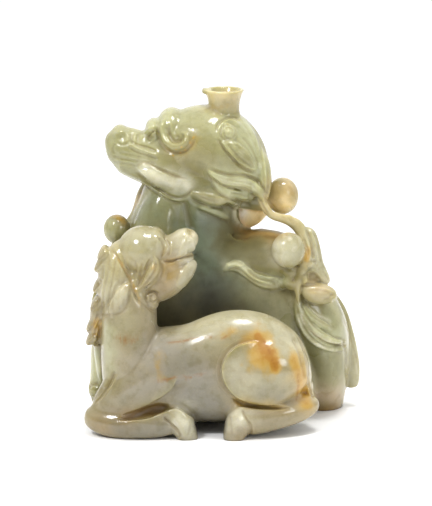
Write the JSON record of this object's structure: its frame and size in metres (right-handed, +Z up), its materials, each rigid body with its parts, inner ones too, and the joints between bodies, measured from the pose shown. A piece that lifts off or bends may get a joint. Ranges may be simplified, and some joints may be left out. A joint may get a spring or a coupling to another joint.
{
  "type": "qilin figure",
  "caption": "Carved jade group of a reclining qilin with a cub before it and a fruiting spray, on a flat underside.",
  "frame": {"origin": "centre of the figure's bounding box, on its flat underside", "axes": "+Z up; the beasts lie along X with both chests towards -X; -Y is the side that the cub is on"},
  "size_m": [0.082, 0.056, 0.1],
  "materials": {
    "jade": "polished pale green to beige nephrite with russet patches"
  },
  "bodies": {
    "root": {"jade_carving": "jade"}
  },
  "joints": []
}
